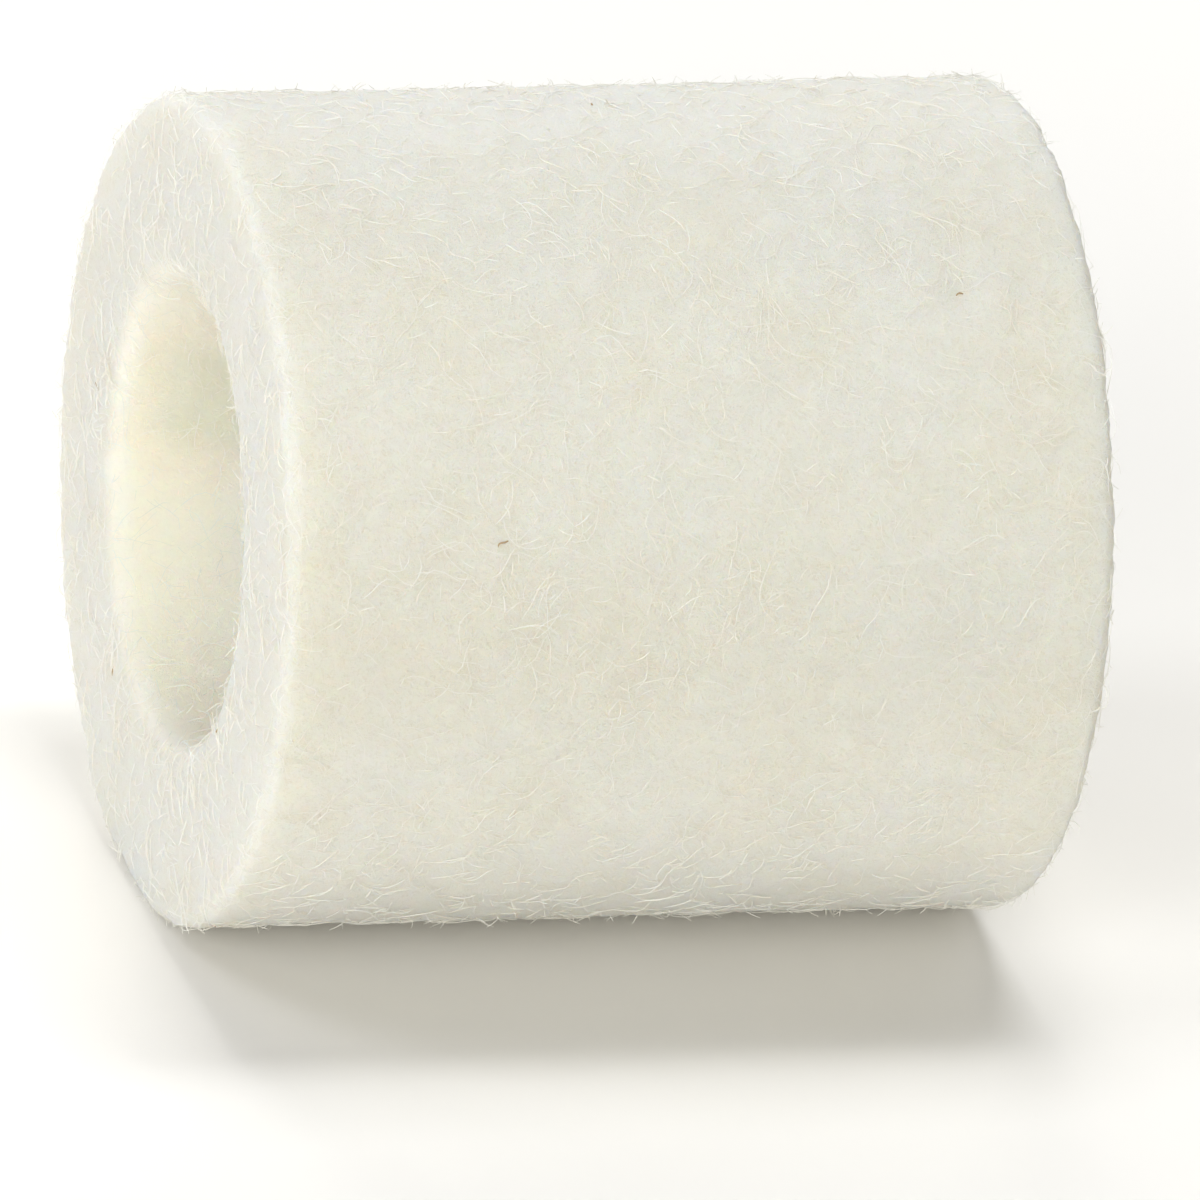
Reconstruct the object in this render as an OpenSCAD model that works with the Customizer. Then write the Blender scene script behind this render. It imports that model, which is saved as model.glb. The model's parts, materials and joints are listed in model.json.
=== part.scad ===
// Felt polishing wheel: a short, solid cylinder of hard pressed wool felt,
// about as long as it is wide, with a flared hole along its axis. A stiff
// bush is glued into the middle of the hole and slides onto a spindle.
// Axis of the wheel: Y. Origin: the middle of the wheel. Units: millimetres.

/* [Felt body] */
// Outside diameter of the felt
wheel_d = 25.4; // [20:0.1:40]
// Length of the felt along the axis
wheel_len = 26.2; // [18:0.1:40]
// Radius of the softened outer edges
edge_r = 0.4; // [0.1:0.1:1.5]

/* [Flared mouths] */
// Diameter of each mouth at the end face
mouth_d = 15.2; // [14:0.1:16]
// Depth over which a mouth narrows to the straight hole
flare_depth = 4.5; // [2:0.1:6]
// Radius of the softened lip of each mouth
lip_r = 0.5; // [0.1:0.1:1]

/* [Bore bush] */
// Diameter of the straight hole in the felt, filled by the bush
seat_d = 12.7; // [11:0.1:13]
// Bore of the bush, a sliding fit on a 9.53 mm (3/8 inch) spindle
bore_d = 9.6; // [6:0.1:10]
// Chamfer that guides the spindle into the bore
lead_in = 0.5; // [0.2:0.1:0.7]
// Number of glue grooves around the bush
glue_grooves = 5; // [2:1:7]
// Width of one glue groove
groove_w = 1; // [0.5:0.1:1.5]
// Depth of one glue groove
groove_depth = 0.3; // [0.1:0.1:0.6]

/* [Hidden] */
$fn = 96;

wheel_r = wheel_d / 2;
mouth_r = mouth_d / 2;
seat_r = seat_d / 2;
bore_r = bore_d / 2;
end_y = wheel_len / 2;
bush_end_y = end_y - flare_depth;
bush_len = 2 * bush_end_y;
groove_pitch = bush_len / (glue_grooves + 1);
// Angle between the flare's wall and the axis
flare_angle = atan((mouth_r - seat_r) / flare_depth);
// Centre radius of the arc that rounds a lip: it touches the end face and the flare
lip_centre_r = mouth_r + lip_r * tan(45 - flare_angle / 2);

// Points of an arc in the plane of the profile, from one angle to another
function arc(centre, radius, from, to, steps = 6) = [
    for (i = [0 : steps])
        let (angle = from + (to - from) * i / steps)
        centre + radius * [cos(angle), sin(angle)]
];

// The same points mirrored about the middle of the wheel, in reverse order
function mirrored(points) = [
    for (i = [len(points) - 1 : -1 : 0])
        [points[i][0], -points[i][1]]
];

// One end of the felt's outline, from the straight hole out to the rim:
// [distance from the axis, distance along it]
felt_end = concat(
    [[seat_r, bush_end_y]],
    arc([lip_centre_r, end_y - lip_r], lip_r, 180 - flare_angle, 90),
    arc([wheel_r - edge_r, end_y - edge_r], edge_r, 90, 0)
);

// Turns an outline about Z, then lays its axis along Y
module turned(points) {
    rotate([-90, 0, 0])
        rotate_extrude()
            polygon(points);
}

module felt_body() {
    color([0.93, 0.92, 0.86])
        turned(concat(felt_end, mirrored(felt_end)));
}

// Half of the bush's outline without its grooves
bush_end = [
    [bore_r, bush_end_y - lead_in],
    [bore_r + lead_in, bush_end_y],
    [seat_r, bush_end_y]
];

module glue_groove(y) {
    turned([
        [seat_r - groove_depth, y - groove_w / 2],
        [seat_r + 1, y - groove_w / 2],
        [seat_r + 1, y + groove_w / 2],
        [seat_r - groove_depth, y + groove_w / 2]
    ]);
}

module bore_bush() {
    color([0.9, 0.87, 0.78])
        difference() {
            turned(concat(bush_end, mirrored(bush_end)));
            for (i = [1 : glue_grooves])
                glue_groove(i * groove_pitch - bush_end_y);
        }
}

felt_body();
bore_bush();
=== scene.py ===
# %% [markdown]
# # A felt polishing wheel
#
# The wheel is a short block of hard pressed wool felt, about as long as it is wide, with a flared hole
# along its axis and a stiff bush glued into the middle of the hole. The measured model comes first, as
# a fixed frame, and holds every size and place. This lesson adds what the measured model leaves out:
# the soft, matted surface of the felt, the loose wool fibres that stand off it, and the finishes.
#
# The wheel lies on its curved side. Its axis is Y, its middle is the origin, and up is Z.

# %% Load the measured model
import json
import math
import random

import bmesh
import bpy
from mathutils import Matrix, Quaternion, Vector, noise


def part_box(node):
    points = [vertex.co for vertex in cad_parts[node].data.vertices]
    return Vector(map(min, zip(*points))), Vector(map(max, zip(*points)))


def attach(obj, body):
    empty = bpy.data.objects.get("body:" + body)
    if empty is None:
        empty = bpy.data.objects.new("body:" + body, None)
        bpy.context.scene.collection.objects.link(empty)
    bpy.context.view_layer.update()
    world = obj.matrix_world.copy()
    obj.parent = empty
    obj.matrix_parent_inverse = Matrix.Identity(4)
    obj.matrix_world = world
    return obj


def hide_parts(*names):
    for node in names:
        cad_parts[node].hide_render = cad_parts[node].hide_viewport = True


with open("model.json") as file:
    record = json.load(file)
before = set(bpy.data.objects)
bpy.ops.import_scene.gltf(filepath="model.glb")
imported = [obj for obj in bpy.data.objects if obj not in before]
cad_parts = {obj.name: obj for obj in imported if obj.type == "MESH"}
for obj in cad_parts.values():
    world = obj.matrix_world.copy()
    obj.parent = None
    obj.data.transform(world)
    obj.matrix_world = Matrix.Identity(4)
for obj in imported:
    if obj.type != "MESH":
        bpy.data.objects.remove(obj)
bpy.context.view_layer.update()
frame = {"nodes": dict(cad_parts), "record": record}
print("nodes:", sorted(frame["nodes"]))

# %% [markdown]
# ## Sizes
#
# Two boxes and one mount say everything about the wheel's size: the box of the felt gives its radius
# and its length, the box of the bush gives the straight part of the hole, and the mount gives the bore.
# The mouth's radius is the one size that no box shows, so it is read from the felt's own mesh: it is
# the smallest distance from the axis on the end face.

# %% Read the wheel's sizes from the frame
MM = 0.001
felt_low, felt_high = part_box("felt_body")
bush_low, bush_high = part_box("bore_bush")

wheel_r = felt_high.z
end_y = felt_high.y
seat_r = bush_high.z
bush_end_y = bush_high.y
flare_depth = end_y - bush_end_y

bore_mount = next(m for m in frame["record"]["mounts"] if m["name"] == "spindle_bore")
bore_r = bore_mount["dims"]["r_mm"] * MM

felt_node = frame["nodes"]["felt_body"]
face_points = [v.co for v in felt_node.data.vertices if v.co.y > end_y - 0.01 * MM]
lip_top_r = min(math.hypot(p.x, p.z) for p in face_points)
rim_top_r = max(math.hypot(p.x, p.z) for p in face_points)
edge_r = wheel_r - rim_top_r

print(f"wheel radius {wheel_r / MM:.2f}, half length {end_y / MM:.2f}, edge radius {edge_r / MM:.2f} mm")
print(f"flat face from {lip_top_r / MM:.2f} to {rim_top_r / MM:.2f} mm from the axis")
print(f"seat {seat_r / MM:.2f}, flare depth {flare_depth / MM:.2f}, bore {bore_r / MM:.2f} mm")

# %% [markdown]
# ## The camera
#
# A long lens far away keeps the wheel's two ends almost the same size. The camera stands a little
# towards the end with the mouth, so the end face shows as a thin ellipse, and it looks down at the
# side. It is also rolled a few degrees, which sets the wheel level in the picture. The aim is a point
# a little below and beside the wheel's middle, so that the shadow has room under it.

# %% Place the camera
azimuth = math.radians(71.4)
elevation = math.radians(25)
roll = math.radians(6.65)
picture_width = 2.892 * wheel_r
lens = 1200
sensor = 36
aim_right = 0.04 * wheel_r
aim_down = 0.239 * wheel_r

towards_camera = Vector(
    (
        math.sin(azimuth) * math.cos(elevation),
        -math.cos(azimuth) * math.cos(elevation),
        math.sin(elevation),
    )
)
camera_turn = (-towards_camera).to_track_quat("-Z", "Y") @ Quaternion((0, 0, 1), roll)
camera_distance = picture_width * lens / sensor
camera_place = towards_camera * camera_distance + camera_turn @ Vector((aim_right, -aim_down, 0))

camera = bpy.data.objects.new("camera", bpy.data.cameras.new("camera"))
bpy.context.collection.objects.link(camera)
camera.data.lens = lens
camera.data.sensor_width = sensor
camera.data.clip_start = 0.1 * camera_distance
camera.data.clip_end = 20 * camera_distance
camera.rotation_mode = "QUATERNION"
camera.rotation_quaternion = camera_turn
camera.location = camera_place
bpy.context.scene.camera = camera
print(f"camera {camera_distance:.3f} m away, picture {picture_width / MM:.1f} mm wide")

# %% [markdown]
# ## Shader maths as Python
#
# A material is a net of nodes, but it is easier to read as sums. `Val` wraps one output socket, and
# its operators add Math nodes, so `1 - mask * 0.5` builds the nodes that work it out. `Finish` owns
# one material: its `node` method adds any other node, settings first and then its sockets, and
# `set` feeds the Principled shader.

# %% Define the shader helpers
class Val:
    """An output socket. An operator on it adds the Math node that works out the result."""

    def __init__(self, finish, socket):
        self.finish = finish
        self.socket = socket

    def math(self, operation, first, second):
        return self.finish.node("ShaderNodeMath", {"operation": operation}, {0: first, 1: second})

    def __add__(self, other):
        return self.math("ADD", self, other)

    def __sub__(self, other):
        return self.math("SUBTRACT", self, other)

    def __mul__(self, other):
        return self.math("MULTIPLY", self, other)

    def __abs__(self):
        return self.math("ABSOLUTE", self, 0)

    def __radd__(self, other):
        return self.math("ADD", other, self)

    def __rsub__(self, other):
        return self.math("SUBTRACT", other, self)

    def __rmul__(self, other):
        return self.math("MULTIPLY", other, self)

    def larger(self, other):
        return self.math("MAXIMUM", self, other)


class Finish:
    """One material, built from its Principled shader backwards."""

    def __init__(self, name):
        self.material = bpy.data.materials.new(name)
        self.material.use_nodes = True
        self.tree = self.material.node_tree
        self.shader = self.tree.nodes["Principled BSDF"]

    def fill(self, socket, value):
        if isinstance(value, Val):
            self.tree.links.new(value.socket, socket)
        elif isinstance(value, (tuple, list)) and socket.type == "RGBA" and len(value) == 3:
            socket.default_value = (*value, 1)
        else:
            socket.default_value = value

    def node(self, kind, settings, sockets, output=0):
        made = self.tree.nodes.new(kind)
        for name, value in settings.items():
            setattr(made, name, value)
        for name, value in sockets.items():
            self.fill(made.inputs[name], value)
        return Val(self, made.outputs[output])

    def set(self, **inputs):
        for name, value in inputs.items():
            self.fill(self.shader.inputs[name.replace("_", " ")], value)


# %% Define the patterns that the finishes share
def millimetres(finish):
    """The piece's own coordinates, in millimetres."""
    place = finish.node("ShaderNodeTexCoord", {}, {}, "Object")
    return finish.node("ShaderNodeVectorMath", {"operation": "SCALE"}, {0: place, "Scale": 1000})


def cloud(finish, place, size, detail=2.0, rough=0.5, output="Fac"):
    """Soft noise whose lumps are about `size` millimetres across."""
    sockets = {"Vector": place, "Scale": 1 / size, "Detail": detail, "Roughness": rough}
    return finish.node("ShaderNodeTexNoise", {"noise_dimensions": "3D"}, sockets, output)


def spread(finish, value, low, high):
    """0 where `value` is at `low`, 1 where it is at `high`, and even steps between."""
    return finish.node("ShaderNodeMapRange", {"clamp": True}, {0: value, 1: low, 2: high})


def blend_colours(finish, amount, first, second):
    """Mixes two colours by `amount`."""
    sockets = {"Factor": amount, 6: first, 7: second}
    return finish.node("ShaderNodeMix", {"data_type": "RGBA"}, sockets, 2)


# %% [markdown]
# ## The felt block
#
# Pressed felt has no weave. It is a dense mat of wool, cut and ground to shape, so its faces are true
# but never quite smooth, and its edges are crisp with a little softness. One outline turned about the
# axis gives the block. The outline needs only a few points, and each curved stretch is an arc. It is
# cut into short steps before it is turned, so the surface has enough points to carry the relief.

# %% Draw the outline of one end
def arc(centre_r, centre_y, radius, start, stop, steps=5):
    """Points of an arc in the outline's plane, as (distance from the axis, distance along it)."""
    points = []
    for i in range(steps + 1):
        angle = math.radians(start + (stop - start) * i / steps)
        points.append((centre_r + radius * math.cos(angle), centre_y + radius * math.sin(angle)))
    return points


lip_r = 0.9 * MM
flare_angle = math.degrees(math.atan((lip_top_r - seat_r) / flare_depth))
lip_arc = arc(lip_top_r, end_y - lip_r, lip_r, 180 - flare_angle, 90)
rim_arc = arc(wheel_r - edge_r, end_y - edge_r, edge_r, 90, 0)
front_end = [(seat_r, bush_end_y), *lip_arc, *rim_arc]
outline = front_end + [(r, -y) for r, y in reversed(front_end)]
print(f"outline has {len(outline)} points, flare {flare_angle:.1f} degrees from the axis")

# %% Turn the outline into the felt block
turn_steps = 320
row_height = 0.24 * MM


def short_steps(points, longest):
    """The same closed outline with extra points, so that no step is longer than `longest`."""
    cut = []
    for here, there in zip(points, points[1:] + points[:1]):
        parts = math.ceil(math.dist(here, there) / longest)
        step_r = (there[0] - here[0]) / parts
        step_y = (there[1] - here[1]) / parts
        cut += [(here[0] + step_r * i, here[1] + step_y * i) for i in range(parts)]
    return cut


def add_outline(bm, points):
    """Draws a closed outline in the plane x = 0."""
    verts = [bm.verts.new((0, y, r)) for r, y in points]
    for here, there in zip(verts, verts[1:] + verts[:1]):
        bm.edges.new((here, there))


def turn_outline(points, longest, steps):
    """A closed outline turned a full turn about Y."""
    bm = bmesh.new()
    add_outline(bm, short_steps(points, longest))
    bmesh.ops.spin(
        bm,
        geom=bm.verts[:] + bm.edges[:],
        cent=(0, 0, 0),
        axis=(0, 1, 0),
        angle=math.tau,
        steps=steps,
        use_merge=True,
    )
    bmesh.ops.remove_doubles(bm, verts=bm.verts, dist=0.001 * MM)
    bmesh.ops.recalc_face_normals(bm, faces=bm.faces)
    return bm


felt_mesh = turn_outline(outline, row_height, turn_steps)
print(f"felt block: {len(felt_mesh.verts)} points, {len(felt_mesh.faces)} faces")

# %% [markdown]
# ## Relief of the felt
#
# Three layers of noise move the points along their normals. Wide swells come from uneven pressing,
# lumps under a millimetre from the matted clumps of wool, and fine grit from the fibres themselves.
# The straight hole is left true, because the bush is glued to it. Near an edge the fibres are
# held less well, so the relief grows a little there.

# %% Press the relief into the surface
swell = 0.05 * MM
clumps = 0.045 * MM
grit = 0.03 * MM


def relief(place):
    """How far a point of the felt stands proud of the turned shape."""
    p = place / MM
    wide = noise.noise(p * 0.16)
    matted = noise.fractal(p * 1.1, 0.9, 2.1, 3)
    fine = noise.noise(p * 4.3)
    return swell * wide + clumps * matted + grit * fine


def held_true(place):
    """0 on the straight hole, 1 where the felt is free."""
    from_seat = math.hypot(place.x, place.z) - seat_r
    past_bush = abs(place.y) - bush_end_y
    return min(1, max(0, from_seat, past_bush) / (0.6 * MM))


def near_edge(place):
    """1 at the rim's edge, falling to 0 within a millimetre."""
    from_side = wheel_r - math.hypot(place.x, place.z)
    from_end = end_y - abs(place.y)
    return max(0, 1 - max(from_side, from_end) / MM)


def rise(place):
    """How far a point of the turned shape moves along its normal."""
    return relief(place) * held_true(place) * (1 + 0.6 * near_edge(place))


felt_mesh.normal_update()
moves = [vert.normal * rise(vert.co) for vert in felt_mesh.verts]
for vert, move in zip(felt_mesh.verts, moves):
    vert.co += move
print(f"relief up to {max(m.length for m in moves) / MM:.3f} mm")


# %% Make the felt block an object
def make_piece(name, bm, finish, smooth=True):
    """An object at the origin from a bmesh, riding on the wheel's one body."""
    mesh = bpy.data.meshes.new(name)
    bm.to_mesh(mesh)
    bm.free()
    return finish_piece(name, mesh, finish, smooth)


def finish_piece(name, mesh, finish, smooth=True):
    """Gives a mesh its object, finish, body and material slot."""
    mesh.polygons.foreach_set("use_smooth", [smooth] * len(mesh.polygons))
    piece = bpy.data.objects.new(name, mesh)
    bpy.context.collection.objects.link(piece)
    mesh.materials.clear()
    mesh.materials.append(finish.material)
    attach(piece, "root")
    return piece


# %% [markdown]
# ## The look of felt
#
# Up close, felt is a tangle of curly strands. A strand is noise squeezed across and drawn out along
# one direction, bent by a second noise, with its middle picked out as a ridge. Several such layers in
# different directions, each kept where it is highest, make the tangle. Valleys between strands are
# painted a little darker and warmer, as shade in the hollows, where light has passed through wool.
# Wide, faint patches of cooler and warmer cream come from the wool itself. Within the mouth the wool
# is painted lighter and warmer, as light in the mouth, and further in it is painted grey beside the
# axis, as shade deep in the hole, so the colour there follows the distance from the axis and the
# height. Wool also lets some light through, which softens the edges and fills the mouth, so the
# shader scatters light below the surface.

# %% Build the felt's finish
STRANDS = [(0, 0, 0.3), (0.9, 0.4, 1.5), (1.7, 1.1, 2.5), (2.6, 0.8, 0.9)]
FINE_STRANDS = [(0.5, 0.2, 2.1), (1.2, 0.9, 0.1), (2.2, 1.6, 1.2)]
# Painted light: the lighter, warmer wool colour for the mouth.
MOUTH_PAINTED_LIGHT = (1, 0.92, 0.79)
# Painted shade: the grey wool colour further in the hole.
BORE_PAINTED_SHADE = (0.8, 0.8, 0.66)


def tangle(finish, place, thickness, turns):
    """A mat of curly strands of that thickness: 1 on top of a strand, 0 between them."""
    bend = cloud(finish, place, 9 * thickness, 1, 0.5, "Color")
    bent = finish.node(
        "ShaderNodeVectorMath",
        {"operation": "MULTIPLY_ADD"},
        {0: bend, 1: (12 * thickness,) * 3, 2: place},
    )
    layers = None
    for turn in turns:
        drawn = finish.node(
            "ShaderNodeMapping",
            {"vector_type": "TEXTURE"},
            {"Vector": bent, "Rotation": turn, "Scale": (9, 1, 1)},
        )
        lumps = cloud(finish, drawn, 2.4 * thickness, 0)
        ridge = 1 - abs(lumps - 0.5) * 9
        ridge = ridge.larger(0)
        layers = ridge if layers is None else layers.larger(ridge)
    return layers


def distance_from_axis(finish, place):
    """How far the surface is from the wheel's axis, in millimetres."""
    across = finish.node("ShaderNodeVectorMath", {"operation": "MULTIPLY"}, {0: place, 1: (1, 0, 1)})
    return finish.node("ShaderNodeVectorMath", {"operation": "LENGTH"}, {0: across}, "Value")


def felt_finish(name, light, painted_valley_shade):
    """Matte pressed wool, from the colour of its strands and the painted shade of the hollows between
    them.
    """
    finish = Finish(name)
    place = millimetres(finish)
    coarse = tangle(finish, place, 0.055, STRANDS)
    fine = tangle(finish, place, 0.03, FINE_STRANDS)
    clump = cloud(finish, place, 0.45, 3, 0.6)
    patch = cloud(finish, place, 4.5, 2, 0.5)
    mat = coarse * 0.5 + fine * 0.35 + clump * 0.3
    # Painted shade: the hollows between strands take the darker, warmer colour, mixed with real wool
    # mottling.
    base = blend_colours(finish, spread(finish, mat, 0.1, 0.8), painted_valley_shade, light)
    warm = blend_colours(finish, spread(finish, patch, 0.35, 0.65), (1, 1, 1), (1, 0.985, 0.95))
    colour = finish.node(
        "ShaderNodeMix",
        {"data_type": "RGBA", "blend_type": "MULTIPLY"},
        {"Factor": 1.0, 6: base, 7: warm},
        2,
    )
    inward = lip_top_r / MM - distance_from_axis(finish, place)
    up = finish.node("ShaderNodeSeparateXYZ", {}, {"Vector": place}, "Z")
    # Painted light: the wool within the mouth is made lighter and warmer.
    mouth_painted_light = spread(finish, inward, 0.25, 0.6) * 0.95
    # Painted shade: further in, beside the axis and around mid-height, the wool is made grey.
    bore_painted_shade = spread(finish, inward, 0.7, 1.1) * spread(finish, abs(up - 0.8), 3.6, 1.2) * 0.9
    colour = blend_colours(finish, mouth_painted_light, colour, MOUTH_PAINTED_LIGHT)
    colour = blend_colours(finish, bore_painted_shade, colour, BORE_PAINTED_SHADE)
    height = coarse * 0.6 + fine * 0.35 + clump * 0.5
    bump = finish.node("ShaderNodeBump", {}, {"Height": height, "Strength": 0.6, "Distance": 0.07 * MM})
    rough = 0.97 - coarse * 0.07
    finish.set(Base_Color=colour, Roughness=rough, Normal=bump)
    finish.set(Sheen_Weight=0.25, Sheen_Roughness=0.6, Specular_IOR_Level=0.15)
    finish.set(Subsurface_Weight=0.9, Subsurface_Radius=(1, 0.78, 0.5), Subsurface_Scale=2.2 * MM)
    return finish


felt = felt_finish("pressed_wool_felt", light=(0.835, 0.825, 0.745), painted_valley_shade=(0.765, 0.74, 0.635))
felt_piece = make_piece("felt_block", felt_mesh, felt)
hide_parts("felt_body")

# %% [markdown]
# ## Loose fibres
#
# What tells felt from foam or chalk is the fuzz: single wool fibres that bridge the surface in flat
# loops, and short ends that stand off it. They catch light along the rims. Each one is a short spline
# with a fine round bevel, thin at its ends and rooted inside the felt. The roots are picked at random
# from spots all over the turned outline, raised by the same relief as the block. The block's own
# faces would not do, because a full spin can number its faces differently in each run, and then the
# same seed would pick other roots. A fibre that would fly off past an edge is drawn again.

# %% Lay the loose fibres
fibre_r = 0.013 * MM
root_depth = 0.05 * MM
reach = 0.32 * MM


def any_tangent(normal, rng):
    """A random direction that lies in the surface."""
    pick = Vector((rng.gauss(0, 1), rng.gauss(0, 1), rng.gauss(0, 1)))
    return pick.cross(normal).normalized()


def loop_points(root, normal, rng, length, lift):
    """A fibre that leaves the felt, lies along it in a curl and goes back in."""
    along = any_tangent(normal, rng)
    side = normal.cross(along)
    curl = rng.uniform(-0.35, 0.35) * length
    wave = rng.uniform(-0.12, 0.12) * length
    points = []
    steps = 6
    for i in range(steps + 1):
        t = i / steps
        arch = 4 * t * (1 - t)
        across = curl * arch + wave * math.sin(math.tau * t)
        height = (lift + root_depth) * arch - root_depth
        points.append(root + along * length * (t - 0.5) + side * across + normal * height)
    return points


def free_end_points(root, normal, rng, length, lift):
    """A fibre that leaves the felt and ends in the air."""
    along = any_tangent(normal, rng)
    side = normal.cross(along)
    curl = rng.uniform(-0.5, 0.5) * length
    points = []
    steps = 5
    for i in range(steps + 1):
        t = i / steps
        height = (lift + root_depth) * t ** 0.8 - root_depth
        points.append(root + along * length * t + side * curl * t * t + normal * height)
    return points


def add_spline(curve, points, radius):
    """One tapered fibre in a curve."""
    spline = curve.splines.new("POLY")
    spline.points.add(len(points) - 1)
    last = len(points) - 1
    for i, point in enumerate(points):
        spline.points[i].co = (*point, 1)
        spline.points[i].radius = radius * (0.45 + 0.55 * math.sin(math.pi * (0.1 + 0.8 * i / last)))


def curve_mesh(name, curve):
    """The mesh of a bevelled curve."""
    holder = bpy.data.objects.new(name, curve)
    bpy.context.collection.objects.link(holder)
    graph = bpy.context.evaluated_depsgraph_get()
    mesh = bpy.data.meshes.new_from_object(holder.evaluated_get(graph))
    bpy.data.objects.remove(holder)
    return mesh


def stays_close(points):
    """Whether a fibre keeps close to the block, so that none flies off past an edge."""
    return all(math.hypot(p.x, p.z) < wheel_r + reach and abs(p.y) < end_y + reach for p in points)


def fibre_piece(name, spots, count, seed, finish, shape, length, lift, radius=fibre_r):
    """A layer of fibres rooted in randomly picked spots."""
    rng = random.Random(seed)
    curve = bpy.data.curves.new(name, "CURVE")
    curve.dimensions = "3D"
    curve.bevel_depth = 1
    curve.bevel_resolution = 0
    curve.use_fill_caps = True
    while len(curve.splines) < count:
        root, normal = rng.choice(spots)
        points = shape(root, normal, rng, rng.uniform(*length), rng.uniform(*lift))
        if stays_close(points):
            add_spline(curve, points, radius * rng.uniform(0.7, 1.2))
    piece = finish_piece(name, curve_mesh(name, curve), finish, smooth=False)
    print(f"{name}: {count} fibres, {len(piece.data.polygons)} faces")
    return piece


def felt_spots(chosen):
    """(place, normal) of spots on the felt where `chosen(distance from axis, distance along it)`."""
    picked = []
    cut = short_steps(outline, row_height)
    for (r, y), (next_r, next_y) in zip(cut, cut[1:] + cut[:1]):
        middle_r, middle_y = (r + next_r) / 2, (y + next_y) / 2
        if not chosen(middle_r, abs(middle_y)):
            continue
        out_r, out_y = Vector((y - next_y, next_r - r)).normalized()
        for i in range(turn_steps):
            angle = math.tau * i / turn_steps
            sine, cosine = math.sin(angle), math.cos(angle)
            place = Vector((middle_r * sine, middle_y, middle_r * cosine))
            normal = Vector((out_r * sine, out_y, out_r * cosine))
            picked.append((place + normal * rise(place), normal))
    return picked


side_spots = felt_spots(lambda r, y: r > wheel_r - 0.2 * MM)
end_spots = felt_spots(lambda r, y: y > end_y - 0.2 * MM)
mouth_spots = felt_spots(lambda r, y: y > bush_end_y + 0.3 * MM and r < lip_top_r)
print(f"spots for roots: {len(side_spots)} side, {len(end_spots)} end, {len(mouth_spots)} mouth")


def wool_finish(name, light, warm):
    """Single wool fibres: pale, and a little warmer in some tufts than in others."""
    finish = Finish(name)
    tufts = cloud(finish, millimetres(finish), 1.6, 1)
    colour = blend_colours(finish, spread(finish, tufts, 0.35, 0.65), warm, light)
    finish.set(Base_Color=colour, Roughness=0.85, Sheen_Weight=0.3, Specular_IOR_Level=0.2)
    return finish


fuzz = wool_finish("loose_wool", light=(0.89, 0.88, 0.82), warm=(0.86, 0.83, 0.74))
flat = (0.7 * MM, 2.2 * MM)
low_lift = (0.02 * MM, 0.09 * MM)
short = (0.2 * MM, 0.7 * MM)
high_lift = (0.06 * MM, 0.28 * MM)

fibre_piece("side_loops", side_spots, 3600, 11, fuzz, loop_points, flat, low_lift)
fibre_piece("side_ends", side_spots, 2600, 12, fuzz, free_end_points, short, high_lift)
fibre_piece("end_loops", end_spots, 1500, 13, fuzz, loop_points, flat, low_lift)
fibre_piece("end_ends", end_spots, 1300, 14, fuzz, free_end_points, short, high_lift)
fibre_piece("mouth_loops", mouth_spots, 700, 15, fuzz, loop_points, flat, low_lift)
fibre_piece("mouth_ends", mouth_spots, 600, 16, fuzz, free_end_points, short, high_lift)

# %% [markdown]
# ## Flecks
#
# Undyed wool keeps a few bits of straw and seed from the field. Pressed in with the fibres, they show
# as tiny tan flecks, lying flat in the surface. They are made like the fibres, only thicker, and
# few enough to count.

# %% Scatter the flecks
def straw_finish(name):
    """Dry straw, paler at one end of its range than at the other."""
    finish = Finish(name)
    grain = cloud(finish, millimetres(finish), 0.3, 2)
    colour = blend_colours(finish, grain, (0.3, 0.2, 0.1), (0.55, 0.42, 0.25))
    finish.set(Base_Color=colour, Roughness=0.7)
    return finish


straw = straw_finish("straw_flecks")
outer_spots = side_spots + end_spots
fleck_length = (0.25 * MM, 0.7 * MM)
fleck_lift = (0.0, 0.02 * MM)
fleck_r = 0.035 * MM
fibre_piece("flecks", outer_spots, 16, 21, straw, loop_points, fleck_length, fleck_lift, fleck_r)

# %% [markdown]
# ## The bush
#
# The bush is turned from a rod of natural nylon: ivory, a little waxy, with fine tool rings. Its
# measured shape is right, so it keeps its mesh and only gets a finish.

# %% Give the bush its finish
def nylon_finish(name):
    """Natural nylon with fine rings left by the turning tool."""
    finish = Finish(name)
    place = millimetres(finish)
    rings = finish.node(
        "ShaderNodeTexWave",
        {"wave_type": "BANDS", "bands_direction": "Y"},
        {"Vector": place, "Scale": 1.6, "Distortion": 0.4, "Detail": 2.0},
        "Fac",
    )
    haze = cloud(finish, place, 2.5, 2)
    colour = blend_colours(finish, haze, (0.72, 0.67, 0.52), (0.8, 0.76, 0.64))
    bump = finish.node("ShaderNodeBump", {}, {"Height": rings, "Strength": 0.5, "Distance": 0.02 * MM})
    finish.set(Base_Color=colour, Roughness=0.38 + haze * 0.2, Normal=bump)
    finish.set(Subsurface_Weight=0.3, Subsurface_Scale=0.6 * MM)
    return finish


nylon = nylon_finish("natural_nylon")
bush_piece = frame["nodes"]["bore_bush"]
bush_piece.data.materials.clear()
bush_piece.data.materials.append(nylon.material)

# %% [markdown]
# ## Floor and light
#
# The wheel lies on a plain white floor. Soft light comes from three panels overhead and from pale
# cards all round, so every side of the wheel is lit, and only the ground under it falls into shadow.
# One card looks straight into the mouth, which would be dull without it. The lights stand far off, so
# they light the floor evenly too. The room itself is white to the eye, and gives no light.

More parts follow.
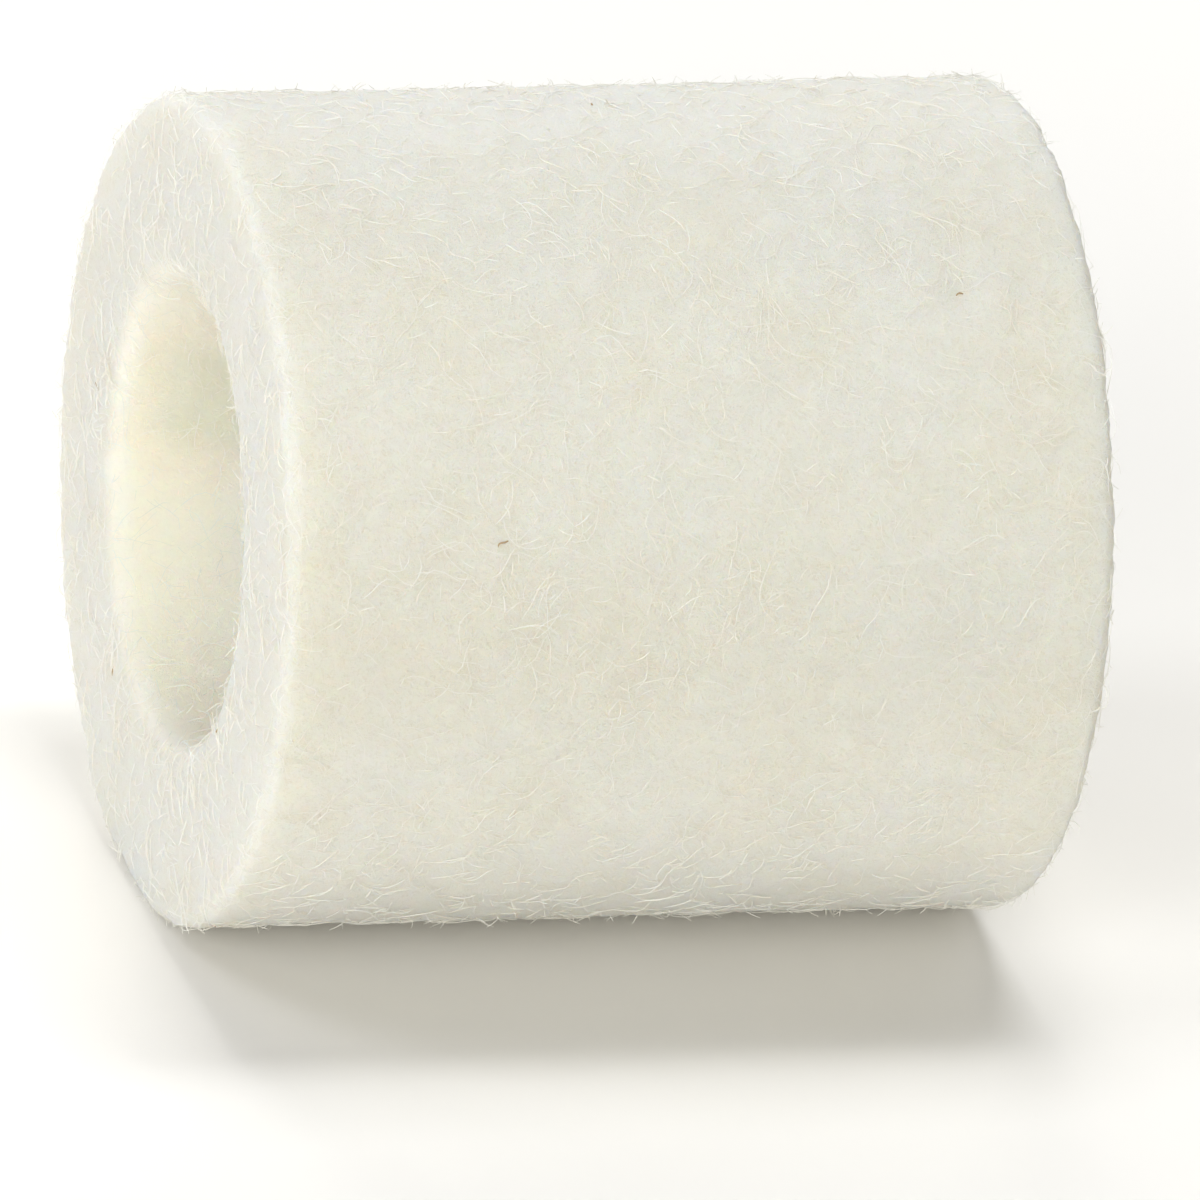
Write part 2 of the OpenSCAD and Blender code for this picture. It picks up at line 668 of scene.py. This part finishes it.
# %% Make the floor
floor_bm = bmesh.new()
bmesh.ops.create_grid(floor_bm, x_segments=1, y_segments=1, size=30 * wheel_r)
bmesh.ops.translate(floor_bm, verts=floor_bm.verts, vec=(0, 0, -wheel_r - 0.05 * MM))
floor_mesh = bpy.data.meshes.new("floor")
floor_bm.to_mesh(floor_mesh)
floor_bm.free()
floor = bpy.data.objects.new("floor", floor_mesh)
bpy.context.collection.objects.link(floor)
floor_finish = Finish("white_floor")
floor_finish.set(Base_Color=(0.95, 0.93, 0.885), Roughness=0.9, Specular_IOR_Level=0.1)
floor_mesh.materials.append(floor_finish.material)

# %% Add the panels and cards
# name: azimuth and height of the light in degrees, its size in wheel radii, power, colour
LIGHTS = {
    "overhead_panel": (0, 90, 6, 0.12, (1, 1, 1)),
    "top_right_panel": (180, 78, 9, 0.22, (0.97, 0.99, 1.02)),
    "top_back_panel": (270, 78, 9, 0.15, (0.97, 0.99, 1.02)),
    "high_left_card": (0, 50, 15, 0.19, (0.98, 1, 1.05)),
    "high_back_left_card": (315, 50, 15, 0.07, (1, 1, 1)),
    "front_left_card": (42, 20, 21, 0.45, (0.975, 1, 1.06)),
    "front_card": (72, 17, 16, 0.29, (1.02, 1, 0.93)),
    "front_right_card": (130, 20, 21, 0.05, (1.03, 1, 0.9)),
    "back_right_card": (225, 20, 21, 0.17, (1, 1, 1)),
    "back_card": (270, 20, 21, 0.51, (1, 1, 1)),
}
light_distance = 42 * wheel_r


def add_panel(name, azimuth_deg, height_deg, size, power, colour):
    """A square soft light that faces the wheel. Power 1 lights a white card to about white."""
    turn, height = math.radians(azimuth_deg), math.radians(height_deg)
    level = math.cos(height)
    out = Vector((math.sin(turn) * level, -math.cos(turn) * level, math.sin(height)))
    lamp = bpy.data.lights.new(name, "AREA")
    lamp.size = size * wheel_r
    lamp.energy = power * math.pi ** 2 * light_distance ** 2
    lamp.color = colour
    panel = bpy.data.objects.new(name, lamp)
    bpy.context.collection.objects.link(panel)
    panel.location = out * light_distance
    panel.rotation_mode = "QUATERNION"
    panel.rotation_quaternion = out.to_track_quat("Z", "Y")


for light_name, values in LIGHTS.items():
    add_panel(light_name, *values)

# %% Make the room white to the camera only
world = bpy.data.worlds.new("room")
bpy.context.scene.world = world
world.use_nodes = True
room = world.node_tree
background = room.nodes["Background"]
background.inputs["Color"].default_value = (1, 1, 1, 1)
ray = room.nodes.new("ShaderNodeLightPath")
room.links.new(ray.outputs["Is Camera Ray"], background.inputs["Strength"])
bpy.context.scene.view_settings.view_transform = "Standard"
